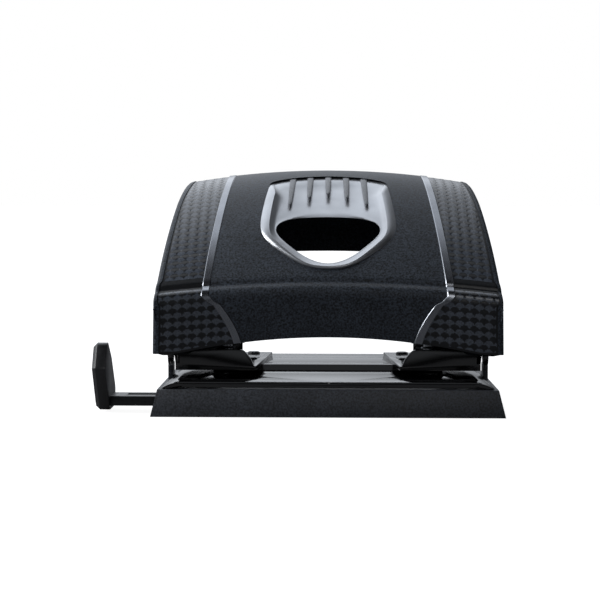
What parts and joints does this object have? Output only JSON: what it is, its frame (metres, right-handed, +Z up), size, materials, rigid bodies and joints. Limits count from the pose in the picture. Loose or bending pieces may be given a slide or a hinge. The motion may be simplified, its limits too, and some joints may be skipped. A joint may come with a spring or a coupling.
{
  "type": "hole punch",
  "caption": "Desk hole punch: a wide moulded handle on a front-hinged lever drives two sprung punches over a steel paper table on a chip tray, with a sliding paper guide.",
  "frame": {"origin": "centre of the chip tray's underside, on the desk", "axes": "+X along the punch to the right as seen from its front, +Y from the front to the back, +Z up"},
  "size_m": [0.1542, 0.092, 0.093],
  "materials": {
    "tray_plastic": "fine spark-eroded grain",
    "cover_plastic": "spark-eroded grain",
    "trim_plastic": "satin grey",
    "guide_plastic": "satin",
    "black_steel": "gloss black lacquer",
    "black_rivet": "satin black",
    "bright_steel": "ground",
    "spring_steel": "drawn"
  },
  "bodies": {
    "tray": {"chip_tray": "tray_plastic", "tray_hinge_pins": "bright_steel"},
    "chassis": {"base_plate": "black_steel", "left_bracket": "black_steel", "right_bracket": "black_steel", "bracket_rivets": "black_rivet", "left_hinge_pin": "bright_steel", "right_hinge_pin": "bright_steel", "left_spring": "spring_steel", "right_spring": "spring_steel"},
    "handle": {"lever_frame": "black_steel", "handle_cover": "cover_plastic", "window_trim": "trim_plastic", "cover_screws": "bright_steel"},
    "punch_left": {"left_punch": "bright_steel", "left_punch_clip": "spring_steel"},
    "punch_right": {"right_punch": "bright_steel", "right_punch_clip": "spring_steel"},
    "guide": {"guide_rail": "guide_plastic", "paper_stop": "guide_plastic"}
  },
  "joints": [
    {"name": "table_tip", "type": "hinge", "parent": "tray", "child": "chassis", "pos_m": [0, 0.0422, 0.0074], "axis": [-1, 0, 0], "range_deg": [0, 60]},
    {"name": "handle_press", "type": "hinge", "parent": "chassis", "child": "handle", "pos_m": [0, -0.03, 0.031], "axis": [-1, 0, 0], "range_deg": [0, 20], "stiffness_Nm_per_rad": 0.5, "springref_deg": -17.19},
    {"name": "left_punch_slide", "type": "slide", "parent": "chassis", "child": "punch_left", "axis": [0, 0, -1], "range_m": [0, 0.0053], "deforming": ["left_spring"]},
    {"name": "right_punch_slide", "type": "slide", "parent": "chassis", "child": "punch_right", "axis": [0, 0, -1], "range_m": [0, 0.0053], "deforming": ["right_spring"]},
    {"name": "guide_slide", "type": "slide", "parent": "tray", "child": "guide", "axis": [-1, 0, 0], "range_m": [-0.014, 0.066]}
  ],
  "couplings": [
    {"joint": "left_punch_slide", "follows": "handle_press", "m_per_rad": 0.01518},
    {"joint": "right_punch_slide", "follows": "handle_press", "m_per_rad": 0.01518}
  ]
}
